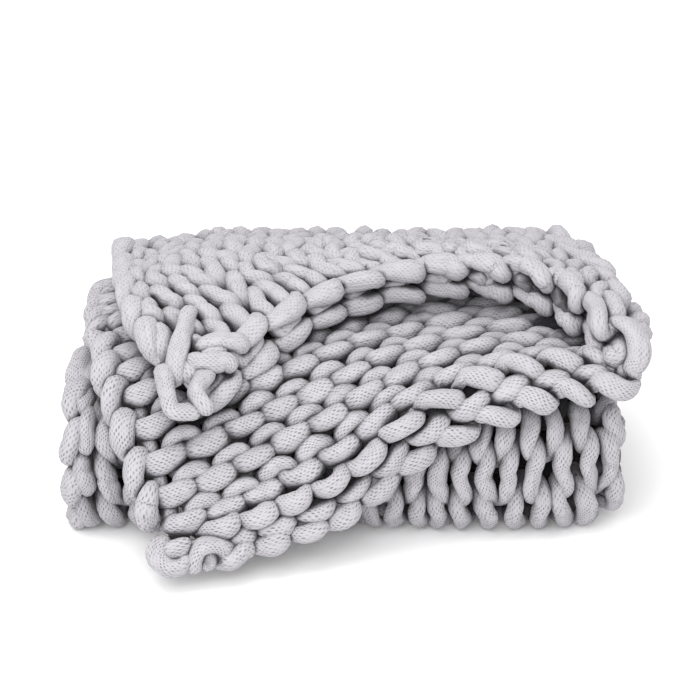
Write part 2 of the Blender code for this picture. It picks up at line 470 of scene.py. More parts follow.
    def centre_on(self, low: Array, high: Array) -> None:
        """Move the surface so that its solid stands in the CAD part's box."""
        half = self.thickness / 2
        faces = np.array([self.points + half * self.normals, self.points - half * self.normals])
        own = (faces.min(axis=(0, 1, 2)) + faces.max(axis=(0, 1, 2))) / 2
        self.points[..., :2] += ((low + high) / 2 - own)[:2]

    def directions(self, wales: Array, courses: Array) -> tuple[Array, Array]:
        """The way that wales count up, and the way towards the bound edge, at places on the cloth."""
        step = 0.25
        right = self.read(wales + step, courses)[0] - self.read(wales - step, courses)[0]
        up = self.read(wales, courses - step)[0] - self.read(wales, courses + step)[0]
        return unit(right), unit(up)

    def lean(self, wales: Array, courses: Array) -> Array:
        """How far the flap's wales are pulled over towards its selvedge, in wales."""
        (rise_wales, fall_wales), (rise_courses, fall_courses) = self.lean_wales, self.lean_courses
        across = smooth(wales / rise_wales) * (1.0 - smooth((wales - rise_wales) / fall_wales))
        up = (np.clip(courses / rise_courses, 0.0, None)
              * (1.0 - smooth((courses - rise_courses) / fall_courses)))
        return self.flap_lean * across * up

    def read(self, wales: Array, courses: Array) -> tuple[Array, Array]:
        """Points and normals at places given in wales and courses.

        Args:
            wales: Places across, which may run a little past the selvedges.
            courses: Places along, which may run a little past the edges.

        Returns:
            The points, and the knit side's normals.
        """
        wales, courses = np.asarray(wales, float), np.asarray(courses, float)
        x = (wales - self.lean(wales, courses) + self.sideways.at(wales, courses)) * self.ruling
        y = (courses + self.lengthways.at(wales, courses)) * self.ruling
        i = np.clip(np.floor(x).astype(int), 0, self.points.shape[0] - 2)
        j = np.clip(np.floor(y).astype(int), 0, self.points.shape[1] - 2)
        fx = (x - i)[..., None]
        fy = (y - j)[..., None]
        result = []
        for grid in (self.points, self.normals):
            near = grid[i, j] * (1 - fx) + grid[i + 1, j] * fx
            far = grid[i, j + 1] * (1 - fx) + grid[i + 1, j + 1] * fx
            result.append(near * (1 - fy) + far * fy)
        normals = unit(result[1])
        return result[0] + normals * self.bulges.at(wales, courses)[..., None], normals


# ---------------------------------------------------------------- yarn

@dataclass
class Yarn:
    """One length of yarn: where its middle runs, and how thick it is there.

    Attributes:
        points: The points that its middle follows.
        facing: The way that the cloth's knit side faces at each of them.
        radius: Its radius at each of them.
    """

    points: Array
    facing: Array
    radius: Array


@dataclass(frozen=True)
class Drawing:
    """How the stitches of one part of the cloth are drawn up.

    Attributes:
        swing: How far a loop swings along its course on its way up, in metres.
        pinch: How much narrower its foot is than its head, in metres.
        arch: How much rounder a loop's foot is than its head, in metres.
        point: How pointed its head and foot are, as a share of its rise.
        radius: The yarn's radius, in metres.
    """

    swing: float
    pinch: float
    arch: float
    point: float
    radius: float

    def toward(self, other: "Drawing", share: Array) -> "Drawing":
        """A drawing between this one and another, place by place."""
        return Drawing(*(mine + (theirs - mine) * share for mine, theirs in (
            (self.swing, other.swing), (self.pinch, other.pinch), (self.arch, other.arch),
            (self.point, other.point), (self.radius, other.radius))))


@dataclass
class Knitting:
    """The courses of the cloth, each one yarn that loops from selvedge to selvedge in stockinette.

    Attributes:
        cloth: The cloth's surface.
        wale: Width of a stitch, in metres.
        course: Height of a stitch, in metres.
        rise: How far a loop reaches up and down from its middle, in metres.
        depth: How far it goes towards the knit side at its legs, and towards the purl side at its
            head and foot, in metres.
        crossing: How much farther it goes where it crosses its neighbours, in metres.
        flap, top, wall: How the stitches are drawn on each part that shows.
        top_fade, wall_fade: The course where the top's drawing starts to fade and the one where the
            wall's starts to show, and over how many courses each does.
        plump: How much fatter the yarn is between two crossings than at them, as a share.
        crown: How much fatter it is at a loop's head than at its legs, as a share.
        samples: Points for each loop.
        first_course: Where the first one starts.
        inset: How far in from the selvedges they turn, in wales.
        cut: How much of the first and last loop is left out, as an angle.
        uneven: Usual differences between legs: in wales along, as a share of the rise, in metres out,
            and as a share of the radius.
        seed: Picks the differences.
    """

    cloth: FoldedCloth
    wale: float = 0.055
    course: float = 0.0454
    rise: float = 0.0335
    depth: float = 0.0085
    crossing: float = 0.0013
    flap: Drawing = Drawing(0.0110, 0.0035, 0.003, 0.03, 0.0106)
    top: Drawing = Drawing(0.0070, 0.0, 0.0, -0.04, 0.0117)
    wall: Drawing = Drawing(0.0066, 0.0, 0.0, -0.03, 0.0101)
    top_fade: tuple[float, float] = (9.0, 3.0)
    wall_fade: tuple[float, float] = (14.0, 3.0)
    plump: float = 0.05
    crown: float = 0.13
    samples: int = 48
    first_course: float = 0.60
    inset: float = 0.22
    cut: float = 0.9
    uneven: tuple[float, float, float, float] = (0.020, 0.030, 0.0008, 0.03)
    seed: int = 7

    def drawn(self, wales: Array, level: float) -> Drawing:
        """How the stitches are drawn at places along one course."""
        inner = smooth((wales - self.cloth.ply_wales) / self.cloth.fold_wales)
        on_top = inner * (1.0 - smooth((level - self.top_fade[0]) / self.top_fade[1]))
        below = smooth((level - self.wall_fade[0]) / self.wall_fade[1])
        return self.flap.toward(self.wall, below).toward(self.top, on_top)

    def row(self, number: int, rng: np.random.Generator) -> Yarn:
        """The yarn of one course.

        Args:
            number: The course, from 0 at the bound edge.
            rng: Where its small differences come from.

        Returns:
            The yarn.
        """
        loops = int(self.cloth.wales)
        pace = (self.cloth.wales - 2 * self.inset) / loops
        turns = np.linspace(self.cut, 2 * np.pi * loops - self.cut, self.samples * loops + 1)
        legs = np.arange(2 * loops + 1)
        shift, stretch, lift, swell = (spline(legs, rng.normal(0.0, size, len(legs)), turns / np.pi)
                                       for size in self.uneven)
        level = self.first_course + number + 0.5
        drawn = self.drawn(self.inset + pace * turns / (2 * np.pi), level)
        along = (turns / (2 * np.pi) + shift
                 + (drawn.swing * np.sin(2 * turns) - drawn.pinch * np.sin(turns)) / self.wale)
        rise = -(self.rise * (np.cos(turns) + drawn.point * np.cos(3 * turns)) * (1.0 + stretch)
                 + drawn.arch * np.cos(2 * turns))
        out = (-self.depth * np.cos(2 * turns)
               + self.crossing * (np.cos(6 * turns) - np.cos(4 * turns)) + lift)
        points, facing = self.cloth.read(self.inset + pace * along, level - rise / self.course)
        radius = drawn.radius * (1.0 + self.plump * np.cos(4 * turns) - self.crown * np.cos(turns) + swell)
        return Yarn(points + facing * out[:, None], facing, radius)

    def rows(self) -> list[Yarn]:
        """All courses, from the bound edge to the hidden end."""
        rng = np.random.default_rng(self.seed)
        count = int(self.cloth.courses - self.first_course)
        return [self.row(number, rng) for number in range(count)]


@dataclass
class Rope:
    """A row of slanted stitches that overlap, as one yarn that winds round the line that it follows.

    Attributes:
        half_width: From the line to the yarn's middle at its most sideways.
        depth: From the line to the yarn's middle at its most forward.
        radius: Of its yarn.
        swell: How much fatter the yarn is in front than behind, as a share.
        rising, falling: Points of one stitch, whose end or whose start lies in front: how far along in
            stitches, how far to the side in half widths, and how far forward in depths.
    """

    half_width: float = 0.0094
    depth: float = 0.0085
    radius: float = 0.0100
    swell: float = 0.20
    rising: tuple[Point, ...] = (
        (0.06, 0.90, -0.90), (0.24, 1.00, 0.25), (0.50, 0.15, 1.00), (0.76, -0.80, 0.80),
        (0.92, -0.90, -0.30), (0.98, 0.00, -1.10))
    falling: tuple[Point, ...] = (
        (0.08, 0.90, -0.30), (0.24, 0.80, 0.80), (0.50, -0.15, 1.00), (0.76, -1.00, 0.25),
        (0.94, -0.90, -0.90), (1.02, 0.00, -1.10))

    def path(self, link: tuple[Point, ...], stitches: int, samples: int) -> Array:
        """The path of the rope with the given stitch.

        Args:
            link: Points of one stitch.
            stitches: How many stitches it has.
            samples: Points for each of them.

        Returns:
            How far along in stitches, how far to the side and how far forward in metres, one row each.
        """
        size = np.array([1.0, self.half_width, self.depth])
        points = np.array([(along + number, side, face) * size
                           for number in range(stitches) for along, side, face in link])
        knots = np.arange(len(points))
        return spline(knots, points, np.linspace(0, knots[-1], stitches * samples)).T


@dataclass
class Edging:
    """The ropes of stitches along the cloth's two edges and down its two selvedges.

    Attributes:
        cloth: The cloth's surface.
        rope: The stitch of the bound edge.
        selvedge_rope: The stitch of the selvedges and of the cast-on edge.
        selvedge_courses: Length of a selvedge stitch, in courses.
        selvedge_lift: How far a selvedge's rope stands out from the cloth's middle surface.
        selvedge_tuck: How much farther in it runs away from the flap and the top, in wales.
        tuck_fade: The course where it starts to tuck in, and over how many courses it does.
        selvedge_outward: How far it turns away from the cloth.
        selvedge_insets: How far in the outer and the inner ply's selvedge ropes run, in wales.
        purl_courses: How far from the bound edge each of them shows on the purl side.
        purl_fade: Over how many courses it turns from that side to the knit side.
        samples: Points for each stitch.
        stitch_wales: Length of a bound stitch, in wales.
        start_inset: How far in from the last wale the bound edge starts, in wales.
        turns: The way that the ropes face on the flap and on top: 0 is the knit side, 90 is away from
            the cloth and 180 is the purl side, in degrees.
        first_levels, second_levels: Where each rope runs on the flap and on top, in courses.
        first_lift: How far the first rope lies towards the knit side on the flap and on top.
        second_drop: How far the second rope lies towards the purl side on the flap, and how much
            farther it hangs under the top layer at the mouth.
        corner_setback: How much farther in the first rope runs at the corner on top, in courses.
        corner_wales: How far from that corner it is back at the edge, in wales.
        cast_on_inset: How far in from the first wale the cast-on edge starts, in wales.
        cast_on_setback: How far in from the hidden end it runs, in courses.
        slants: How much the stitches slant at places in wales, and which way.
    """

    cloth: FoldedCloth
    rope: Rope = field(default_factory=Rope)
    selvedge_rope: Rope = field(default_factory=lambda: Rope(0.0058, 0.0085, 0.0117, 0.12))
    selvedge_courses: float = 1.12
    selvedge_lift: float = 0.003
    selvedge_tuck: float = 0.22
    tuck_fade: tuple[float, float] = (8.5, 2.0)
    selvedge_outward: float = 0.5
    selvedge_insets: tuple[float, float] = (0.14, 0.25)
    purl_courses: tuple[float, float] = (10.0, 0.0)
    purl_fade: float = 2.0
    samples: int = 44
    stitch_wales: float = 0.95
    start_inset: float = 0.3
    turns: tuple[float, float] = (150.0, 62.0)
    first_levels: tuple[float, float] = (0.12, 0.2)
    second_levels: tuple[float, float] = (0.98, 0.22)
    first_lift: tuple[float, float] = (-0.004, 0.008)
    second_drop: tuple[float, float] = (0.012, 0.024)
    corner_setback: float = 0.70
    corner_wales: float = 5.0
    cast_on_inset: float = 0.5
    cast_on_setback: float = 0.20
    slants: tuple[tuple[float, float], ...] = (
        (5.0, -0.15), (7.5, 1.0), (16.0, 1.0), (18.0, 0.3), (20.0, -0.3))

    @property
    def stitches(self) -> int:
        """Stitches along the bound edge, and along the cast-on edge."""
        return int(self.cloth.wales / self.stitch_wales) - 1

    @staticmethod
    def twisted(rope: Rope, points: Array, facing: Array, face: Array) -> Yarn:
        """A rope's yarn, fatter in front than behind."""
        return Yarn(points, facing, rope.radius * (1.0 + rope.swell * face / rope.depth))

    def bound(self, second: bool) -> Yarn:
        """One of the two ropes along the bound edge, from the top's corner round to the flap's tip.

        Args:
            second: Whether it is the one farther in, which hangs below the edge at the mouth.

        Returns:
            The rope's yarn.
        """
        paths = [self.rope.path(link, self.stitches, self.samples)
                 for link in (self.rope.falling, self.rope.rising)]
        start = self.cloth.wales - self.start_inset
        wales = start - paths[0][0] * self.stitch_wales
        inner = smooth((wales - self.cloth.ply_wales) / self.cloth.fold_wales)
        along, side, face = paths[0] + (paths[1] - paths[0]) * inner
        wales = start - along * self.stitch_wales
        side = side * np.interp(wales, *zip(*self.slants))
        from_corner = 1.0 - smooth((self.cloth.wales - wales) / self.corner_wales)
        levels = self.second_levels if second else self.first_levels
        level = levels[0] + (levels[1] - levels[0]) * inner
        if not second:
            level = level + self.corner_setback * from_corner * inner
        base, normal = self.cloth.read(wales, level)
        right, up = self.cloth.directions(wales, level)
        turn = np.radians(self.turns[0] + (self.turns[1] - self.turns[0]) * inner)[:, None]
        facing = unit(np.cos(turn) * normal + np.sin(turn) * up)
        across = np.cross(facing, -right)
        if second:
            lift = -(self.second_drop[0] + (self.second_drop[1] - self.second_drop[0])
                     * inner * (1.0 - from_corner))
        else:
            lift = self.first_lift[0] + (self.first_lift[1] - self.first_lift[0]) * inner
        points = (base + normal * lift[:, None] + across * side[:, None] + facing * face[:, None])
        return self.twisted(self.rope, points, facing, face)

    def selvedge(self, wale: float, outward: float, purl_courses: float) -> Yarn:
        """The rope down one selvedge.

        Args:
            wale: Where it runs.
            outward: -1 where wales count up away from it, 1 where they count up towards it.
            purl_courses: How far from the bound edge it shows on the purl side.

        Returns:
            The rope's yarn.
        """
        rope = self.selvedge_rope
        stitches = int(self.cloth.courses / self.selvedge_courses) - 1
        along, side, face = rope.path(rope.falling, stitches, self.samples)
        courses = self.cloth.courses - 0.5 - along * self.selvedge_courses
        tuck_start, tuck_length = self.tuck_fade
        wales = wale - outward * self.selvedge_tuck * smooth((courses - tuck_start) / tuck_length)
        base, normal = self.cloth.read(wales, courses)
        right, up = self.cloth.directions(wales, courses)
        shown = 2.0 * smooth((courses - purl_courses) / self.purl_fade + 1.0) - 1.0
        facing = unit(shown[:, None] * normal + self.selvedge_outward * outward * right)
        across = np.cross(facing, up)
        points = base + across * side[:, None] + facing * (face + self.selvedge_lift)[:, None]
        return self.twisted(rope, points, facing, face)

    def selvedges(self) -> list[Yarn]:
        """The ropes down the outer and the inner ply's selvedge."""
        outer, inner = self.selvedge_insets
        return [self.selvedge(outer, -1.0, self.purl_courses[0]),
                self.selvedge(self.cloth.wales - inner, 1.0, self.purl_courses[1])]

    def cast_on(self) -> Yarn:
        """The rope along the hidden end, where the knitting was begun."""
        rope = self.selvedge_rope
        along, side, face = rope.path(rope.falling, self.stitches, self.samples)
        wales = self.cast_on_inset + along * self.stitch_wales
        level = np.full_like(wales, self.cloth.courses - self.cast_on_setback)
        base, _ = self.cloth.read(wales, level)
        right, up = self.cloth.directions(wales, level)
        points = base + np.cross(right, up) * side[:, None] - up * face[:, None]
        return self.twisted(rope, points, -up, face)


@dataclass(frozen=True)
class CornerKnot:
    """The short lengths of yarn that are tied at a corner of the cloth.

    Attributes:
        strands: Each strand's points: how far in from the selvedge in wales, how far from the bound
            edge in courses, and how far out towards the side that shows, in metres.
        radius: Of the yarn.
        spacing: Between the points of the finished strands.
    """

    strands: tuple[tuple[Point, ...], ...]
    radius: float = 0.0105
    spacing: float = 0.0026

    def tie(self, cloth: FoldedCloth, from_last: bool) -> list[Yarn]:
        """The knot's strands at one of the cloth's corners.

        Args:
            cloth: The cloth.
            from_last: Whether it is the corner at the last wale, where the knit side shows, rather
                than the one at wale 0, where the purl side does.

        Returns:
            One yarn for each strand.
        """
        yarns = []
        for strand in self.strands:
            inward, courses, out = np.array(strand).T
            wales = cloth.wales - inward if from_last else inward
            base, normal = cloth.read(wales, courses)
            places = base + normal * (out if from_last else -out)[:, None]
            knots = lengths_along(places)
            count = int(knots[-1] / self.spacing)
            at = np.linspace(0.0, knots[-1], count)
            facing = np.stack([np.interp(at, knots, normal[:, k]) for k in range(3)], axis=1)
            yarns.append(Yarn(spline(knots, places, at), unit(facing), np.full(count, self.radius)))
        return yarns


TOP_KNOT = CornerKnot(strands=(
    ((1.16, 2.45, -0.008), (1.04, 2.00, 0.012), (0.58, 1.42, 0.018), (0.20, 1.00, 0.014),
     (0.05, 0.80, 0.004)),
    ((1.00, 1.20, 0.006), (0.92, 1.02, 0.016), (1.25, 0.70, 0.020), (1.50, 0.42, 0.016),
     (1.52, 0.30, 0.004)),
    ((0.70, 1.05, 0.000), (0.60, 0.85, 0.014), (0.85, 0.55, 0.017), (1.08, 0.28, 0.014),
     (1.05, 0.15, 0.002)),
    ((0.15, 1.35, 0.000), (0.02, 1.15, 0.012), (-0.20, 0.65, 0.018), (-0.25, 0.25, 0.014),
     (0.00, 0.00, 0.012), (0.20, -0.10, 0.010)),
    ((0.70, 0.60, 0.004), (0.55, 0.40, 0.016), (0.25, 0.15, 0.022), (0.22, -0.15, 0.018),
     (0.30, -0.32, 0.006)),
))
TIP_KNOT = CornerKnot(strands=(
    ((0.20, 0.95, 0.000), (-0.06, 0.85, 0.010), (-0.22, 0.50, 0.014), (-0.12, 0.16, 0.016),
     (0.16, 0.10, 0.016), (0.26, 0.40, 0.010), (0.24, 0.65, 0.000)),
    ((-0.14, 0.66, 0.006), (0.06, 0.64, 0.018), (0.26, 0.60, 0.020), (0.46, 0.60, 0.006)),
    ((0.50, -0.16, 0.002), (0.44, 0.08, 0.014), (0.66, 0.42, 0.022), (1.02, 0.40, 0.022),
     (1.20, 0.12, 0.014), (1.16, -0.05, 0.002)),
    ((0.76, 0.20, -0.004), (0.76, 0.08, 0.010), (0.76, -0.04, 0.020), (0.76, -0.20, 0.026)),
))


@dataclass
class Settling:
    """Lets all the yarns press on each other, until each has found room.

    Attributes:
        press: How near the middles of two yarns come, as a share of their radii together.
        reach: The farthest at which two yarns are looked at as neighbours, in metres.
        rounds: How many times the neighbours are looked up.
        steps: How many small moves are made in each round.
        hold: How strongly a yarn is drawn back to where it was laid, at each step.
        spread: How many points along a yarn share each push.
        skip: Neighbours along the same yarn that don't press on each other.
        clear: How high above the floor a yarn's middle stays, as a share of its radius.
    """

    press: float = 0.62
    reach: float = 0.0185
    rounds: int = 4
    steps: int = 8
    hold: float = 0.08
    spread: int = 3
    skip: int = 8
    clear: float = 1.05

    def neighbours(self, points: Array, order: Array) -> tuple[Array, Array]:
        """Pairs of points that lie within reach of each other and aren't next to each other on a yarn.

        Args:
            points: All yarns' points.
            order: Their running numbers, with a gap between yarns.

        Returns:
            The two numbers of each pair.
        """
        first, second = close_pairs(points, points, self.reach)
        keep = (first < second) & (np.abs(order[first] - order[second]) > self.skip)
        return first[keep], second[keep]

    def settle(self, yarns: Sequence[Yarn]) -> None:
        """Move the yarns' points until they press on each other evenly, in place."""
        sizes = [len(yarn.points) for yarn in yarns]
        points = np.concatenate([yarn.points for yarn in yarns])
        radius = np.concatenate([yarn.radius for yarn in yarns])
        order = np.concatenate([np.arange(size) + 1000 * 1000 * k for k, size in enumerate(sizes)])
        ends = np.cumsum(sizes)
        laid = points.copy()
        kernel = np.ones(2 * self.spread + 1) / (2 * self.spread + 1)
        for _ in range(self.rounds):
            first, second = self.neighbours(points, order)
            room = self.press * (radius[first] + radius[second])
            for _ in range(self.steps):
                gap = points[first] - points[second]
                length = np.maximum(np.linalg.norm(gap, axis=1), 1e-5)
                need = np.maximum(room - length, 0.0)
                push = gap * (0.5 * need / length)[:, None]
                weight = (need > 0).astype(float)
                touched = (np.bincount(first, weight, len(points))
                           + np.bincount(second, weight, len(points)))
                move = np.stack([np.bincount(first, push[:, k], len(points))
                                 - np.bincount(second, push[:, k], len(points))
                                 for k in range(3)], axis=1)
                move /= np.maximum(touched, 1.0)[:, None] ** 0.5
                for begin, end in zip(ends - sizes, ends):
                    for k in range(3):
                        padded = np.pad(move[begin:end, k], self.spread, mode="edge")
                        move[begin:end, k] = np.convolve(padded, kernel, mode="valid")
                points += move + (laid - points) * self.hold
                points[:, 2] = np.maximum(points[:, 2], radius * self.clear)
        for begin, end, yarn in zip(ends - sizes, ends, yarns):
            yarn.points = points[begin:end]


@dataclass
class PaintedShade:
    """How far the yarns close each other in, for the painted shade that darkens the yarn's colour where
    they do.

    Attributes:
        yarns: All yarns.
        layers: The yarns of the cloth's courses.
        reach: The farthest that a yarn's middle shelters a place.
        strength: How much each point of a yarn shelters.
        step: Takes one in so many of the yarns' points.
        cover_reach: The farthest that another layer covers a yarn.
        cover_strength: How much each point of a layer covers.
        cover_step: Takes one in so many of the layers' points.
        cover: The cover on both sides where a yarn starts to be buried, and where it is.
        blur: Points along the yarn that the cover is evened out over.
    """

    yarns: Sequence[Yarn]
    layers: Sequence[Yarn]
    reach: float = 0.023
    strength: float = 0.60
    step: int = 2
    cover_reach: float = 0.065
    cover_strength: float = 1.2e-4
    cover_step: int = 10
    cover: tuple[float, float] = (0.22, 0.50)
    blur: int = 15

    def unshaded_share(self, places: Array, facing: Array) -> Array:
        """How free places on the yarns are of other yarns, for the painted shade.

        Args:
            places: The places.
            facing: The way out of the yarn at each of them.

        Returns:
            1 where nothing is near, and towards 0 where it is closed in, where its colour is painted in
            shade.
        """
        middles = np.concatenate([yarn.points[::self.step] for yarn in self.yarns])
        radius = np.concatenate([yarn.radius[::self.step] for yarn in self.yarns])
        first, second = close_pairs(places, middles, self.reach)
        away = middles[second] - places[first]
        distance = np.maximum(np.linalg.norm(away, axis=1), 0.004)
        ahead = np.maximum((away * facing[first]).sum(axis=1) / distance, 0.0)
        shade = self.strength * ahead * (radius[second] / distance)**2
        # painted shade: the more other yarns lie close in front of a place, the lower this is and the
        # darker its colour is painted.
        return np.exp(-np.bincount(first, shade, len(places)))

    def exposure(self, yarn: Yarn) -> Array:
        """How free one side of a yarn is at its points: 0 where other layers lie on both its sides, where
        its colour is painted in shade.
        """
        middles = np.concatenate([layer.points[::self.cover_step] for layer in self.layers])
        first, second = close_pairs(yarn.points, middles, self.cover_reach)
        away = middles[second] - yarn.points[first]
        distance = np.maximum(np.linalg.norm(away, axis=1), 0.015)
        cover = self.cover_strength * (away * yarn.facing[first]).sum(axis=1) / distance**3
        sides = [np.bincount(first, np.maximum(sign * cover, 0.0), len(yarn.points)) for sign in (1, -1)]
        low, high = self.cover
        # painted shade: a yarn with other layers close on both sides is painted darker.
        buried = smooth((np.minimum(*sides) - low) / (high - low))
        kernel = np.full(self.blur, 1.0 / self.blur)
        return 1.0 - np.convolve(np.pad(buried, self.blur // 2, mode="edge"), kernel, mode="valid")


@dataclass
class YarnMesher:
    """Makes the tubes of yarn pieces.

    Attributes:
        painted_shade: Tells how far the yarns close each other in, for the shade painted into their colour.
        sides: Of a tube.
        flat: How much flatter than round the yarn is, as a share of its radius.
        dent: How much it is pressed in at three places round it, as a share of its radius.
        twist: Length of yarn in which its flat sides go once round it.
        dent_pace: How much faster its dents go round it, the other way.
        columns: Columns of stitches round the yarn.
        stitch_length: Of the yarn's own stitches.
        end_steps: How the yarn's ends are rounded, as shares of the radius.
    """

    painted_shade: PaintedShade
    sides: int = 12
    flat: float = 0.13
    dent: float = 0.055
    twist: float = 0.11
    dent_pace: float = 1.7
    columns: int = 26
    stitch_length: float = 0.0048
    end_steps: tuple[float, ...] = (0.0, 0.45, 0.75, 0.93)

    def rings(self, yarn: Yarn) -> tuple[Array, Array]:
        """The rings of points round a yarn.

        Args:
            yarn: The yarn.

        Returns:
            The rings' points, and the distance along the yarn of each ring.
        """
        tangent = unit(np.gradient(yarn.points, axis=0))
        side = unit(np.cross(tangent, yarn.facing))
        for step in range(1, len(side)):
            carried = side[step - 1] - side[step - 1].dot(tangent[step]) * tangent[step]
            side[step] = carried / np.sqrt(carried.dot(carried))
        out = np.cross(side, tangent)
        radius = yarn.radius.copy()
        for step, share in enumerate(self.end_steps):
            radius[step] *= share
            radius[-1 - step] *= share
        angles = 2 * np.pi * np.arange(self.sides + 1) / self.sides
        along = lengths_along(yarn.points)
        twist = 2 * np.pi * (along / self.twist)[:, None]
        shape = (1.0 + self.flat * np.cos(2 * angles + twist)
                 + self.dent * np.cos(3 * angles - self.dent_pace * twist)) * radius[:, None]
        ring = (side[:, None] * np.cos(angles)[None, :, None]
                + out[:, None] * np.sin(angles)[None, :, None])
        return yarn.points[:, None] + ring * shape[..., None], along

    def build(self, name: str, yarns: Sequence[Yarn], layer_shaded: bool) -> bpy.types.Object:
        """One piece made of several yarns.

        Args:
            name: The piece's name.
            yarns: Its yarns.
            layer_shaded: Whether the cloth's other layers can cover them, so that the shade painted between
                layers goes on them.

        Returns:
            The piece, linked into the scene.
        """
        bm = bmesh.new()
        places, unrolled, unshaded_parts = [], [], []
        for yarn in yarns:
            rings, along = self.rings(yarn)
            bmesh.ops.create_grid(bm, x_segments=self.sides, y_segments=len(rings) - 1, size=1.0)
            places.append(rings.reshape(-1, 3))
            outward = unit(rings - yarn.points[:, None]).reshape(-1, 3)
            # painted shade: how closed in each vertex is, kept for the colour.
            exposure = self.painted_shade.exposure(yarn) if layer_shaded else np.ones(len(rings))
            unshaded_parts.append(self.painted_shade.unshaded_share(places[-1], outward) * np.repeat(exposure, rings.shape[1]))
            around = np.broadcast_to(np.arange(self.sides + 1) * self.columns / self.sides,
                                     (len(rings), self.sides + 1))
            stitches = np.broadcast_to((along / self.stitch_length)[:, None], around.shape)
            unrolled.append(np.stack([around, stitches], axis=2).reshape(-1, 2))
        mesh = bpy.data.meshes.new(name)
        bm.to_mesh(mesh)
        bm.free()
        mesh.vertices.foreach_set("co", np.concatenate(places).astype(np.float32).ravel())
        corners = np.empty(len(mesh.loops), dtype=np.int32)
        mesh.loops.foreach_get("vertex_index", corners)
        # the painted shade goes on the mesh as an attribute that the finish reads.
        mesh.attributes.new("painted_unshaded", "FLOAT", "POINT").data.foreach_set(
            "value", np.concatenate(unshaded_parts).astype(np.float32))
        layer = mesh.uv_layers.new(name="yarn")
        layer.uv.foreach_set("vector", np.concatenate(unrolled)[corners].astype(np.float32).ravel())
        bm = bmesh.new()
        bm.from_mesh(mesh)
        bmesh.ops.remove_doubles(bm, verts=bm.verts[:], dist=1e-6)
        bmesh.ops.recalc_face_normals(bm, faces=bm.faces[:])
        bm.to_mesh(mesh)
        bm.free()
        mesh.shade_smooth()
        piece = bpy.data.objects.new(name, mesh)
        bpy.context.scene.collection.objects.link(piece)
        return piece


# ---------------------------------------------------------------- studio

@dataclass(frozen=True)
class Lamp:
    """One square soft light that faces the throw."""

    name: str
    place: Point
    size: float
    power: float


@dataclass(frozen=True)
class Studio:
    """The floor, the lights and the camera.

    Attributes:
        distance, elevation: The camera's, from the point that it looks at, in metres and degrees.
        aim: That point.
        lens, sensor: The camera's focal length and the width of its picture, in millimetres.
        lamps: The lights.
        sky: Strength of the white light from all round.
        floor_size: Width of the floor.
        floor_grey, floor_glow: How white the floor is, and how much it lights itself.
    """

    distance: float = 3.2
    elevation: float = 23.0
    aim: Point = (-0.0057, -0.0302, 0.1902)
    lens: float = 147.5
    sensor: float = 36.0
    lamps: tuple[Lamp, ...] = (Lamp("key", (-0.6, -0.5, 3.2), 2.2, 48.0),
                               Lamp("fill", (-0.5, -2.7, 1.8), 2.0, 68.0))
    sky: float = 1.0
    floor_size: float = 14.0
    floor_grey: float = 0.90
    floor_glow: float = 0.06

    def build(self) -> None:
        """Put the floor, the lights and the camera in place."""
        scene = bpy.context.scene
        scene.view_settings.view_transform = "Standard"
        self.build_floor()
        self.build_camera()
        for lamp in self.lamps:
            self.build_lamp(lamp)
        world = bpy.data.worlds.new("studio")
        world.use_nodes = True
        world.node_tree.nodes["Background"].inputs["Color"].default_value = (1.0, 1.0, 1.0, 1.0)
        world.node_tree.nodes["Background"].inputs["Strength"].default_value = self.sky
        scene.world = world

    def build_floor(self) -> None:
        """A plain white floor."""
        bm = bmesh.new()
        bmesh.ops.create_grid(bm, x_segments=1, y_segments=1, size=self.floor_size / 2)
        mesh = bpy.data.meshes.new("floor")
        bm.to_mesh(mesh)
        bm.free()
        material = bpy.data.materials.new("white_floor")
        material.use_nodes = True
        shader = material.node_tree.nodes["Principled BSDF"]
        shader.inputs["Base Color"].default_value = (self.floor_grey,) * 3 + (1.0,)
        shader.inputs["Roughness"].default_value = 0.9
        shader.inputs["Emission Color"].default_value = (1.0, 1.0, 1.0, 1.0)
        shader.inputs["Emission Strength"].default_value = self.floor_glow
        mesh.materials.append(material)
        floor = bpy.data.objects.new("floor", mesh)
        bpy.context.scene.collection.objects.link(floor)
        floor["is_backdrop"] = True

    def stand(self, thing: bpy.types.Object, place: Vector) -> None:
        """Put a light or the camera in its place, turned to the point that the camera looks at."""
        thing.location = place
        thing.rotation_euler = (Vector(self.aim) - place).to_track_quat("-Z", "Y").to_euler()
        bpy.context.scene.collection.objects.link(thing)

    def build_lamp(self, lamp: Lamp) -> None:
        """One of the lights."""
        data = bpy.data.lights.new(lamp.name, "AREA")
        data.energy = lamp.power
        data.size = lamp.size
        self.stand(bpy.data.objects.new(lamp.name, data), Vector(lamp.place))

    def build_camera(self) -> None:
        """The camera, level and a little above the throw."""
        data = bpy.data.cameras.new("camera")
        data.lens = self.lens
        data.sensor_width = self.sensor
        camera = bpy.data.objects.new("camera", data)
        rise = np.radians(self.elevation)
        place = Vector(self.aim) + self.distance * Vector((0.0, -np.cos(rise), np.sin(rise)))
        self.stand(camera, place)
        bpy.context.scene.camera = camera


# ---------------------------------------------------------------- finishes

